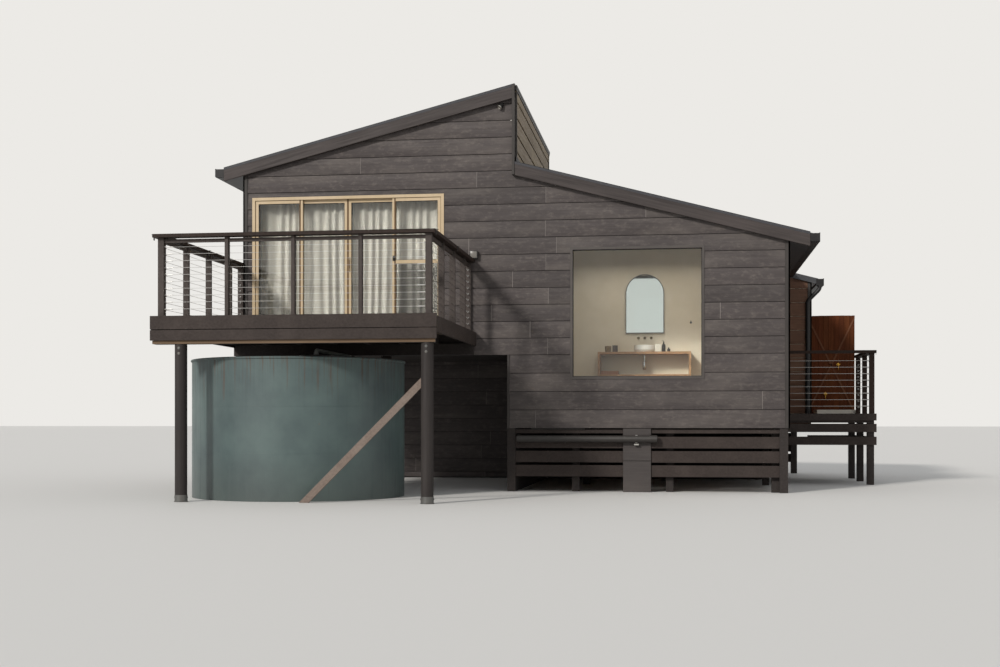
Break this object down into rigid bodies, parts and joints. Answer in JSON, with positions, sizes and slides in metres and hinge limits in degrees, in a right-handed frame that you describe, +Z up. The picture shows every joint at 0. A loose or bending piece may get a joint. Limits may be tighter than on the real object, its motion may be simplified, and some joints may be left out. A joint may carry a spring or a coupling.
{
  "type": "beach house",
  "caption": "Dark boarded timber beach house on a slope, with a stepped skillion roof, wire balustraded balcony, water tank below and a side deck.",
  "frame": {"origin": "middle of the foot of the corner stump under the roof step, on the front wall's centre line, at the lowest ground", "axes": "+X to the right along the front wall, +Y from the front to the back, +Z up"},
  "size_m": [10.323, 11.16, 6.105],
  "materials": {
    "dark_boards": "charcoal painted timber weatherboards",
    "khaki_boards": "khaki grey painted weatherboards",
    "roof_sheet": "charcoal coated corrugated steel",
    "trim_boards": "charcoal painted trim",
    "floor_timber": "oiled timber",
    "plaster": "cream painted plaster",
    "cream_frames": "cream powder coat",
    "window_glass": "clear float glass",
    "curtain_cloth": "light grey sheer cloth",
    "oak": "oiled oak",
    "white_ceramic": "white glaze",
    "black_taps": "matt black",
    "mirror_glass": "silvered glass in a thin black frame",
    "deck_timber": "stained hardwood",
    "dark_posts": "dark stained timber",
    "weathered_timber": "bare weathered timber",
    "dark_rails": "dark brown stained timber",
    "steel_wire": "stainless steel wire",
    "tank_metal": "faded blue green coating with rust",
    "dark_pipe": "dark painted pipe",
    "rust_timber": "red brown stained boards",
    "pale_tray": "pale cast stone",
    "brass_fittings": "bare brass",
    "brown_boards": "brown stained boards"
  },
  "bodies": {
    "root": {"front_wall": "dark_boards", "left_wall": "dark_boards", "right_wall": "dark_boards", "back_wall": "dark_boards", "undercroft_wall": "dark_boards", "clerestory_wall": "khaki_boards", "high_roof": "roof_sheet", "low_roof": "roof_sheet", "barge_boards": "trim_boards", "gutters": "roof_sheet", "downpipes": "roof_sheet", "upper_floor": "floor_timber", "lower_floor": "floor_timber", "bathroom_wall": "plaster", "sliding_door_frame": "cream_frames", "sliding_door_sashes": "cream_frames", "sliding_door_glass": "window_glass", "curtains": "curtain_cloth", "picture_window_frame": "trim_boards", "picture_window_glass": "window_glass", "plain_window_frames": "cream_frames", "plain_window_glass": "window_glass", "vanity": "oak", "basin": "white_ceramic", "wall_taps": "black_taps", "mirror": "mirror_glass", "balcony_frame": "deck_timber", "balcony_deck": "deck_timber", "balcony_fascia": "trim_boards", "balcony_posts": "dark_posts", "brace": "weathered_timber", "balcony_rail_front": "dark_rails", "balcony_rail_sides": "dark_rails", "balcony_wires": "steel_wire", "tank_shell": "tank_metal", "tank_roof": "tank_metal", "stumps": "dark_posts", "pier_panel": "dark_posts", "skirt_slats": "trim_boards", "waste_pipe": "dark_pipe", "outside_lamps": "dark_pipe", "side_deck_frame": "trim_boards", "side_deck": "deck_timber", "side_rail_front": "dark_rails", "side_rail_right": "dark_rails", "side_deck_wires": "steel_wire", "screen": "rust_timber", "shower_tray": "pale_tray", "shower_taps": "brass_fittings", "wing_walls": "brown_boards", "wing_roof": "roof_sheet"}
  },
  "joints": []
}
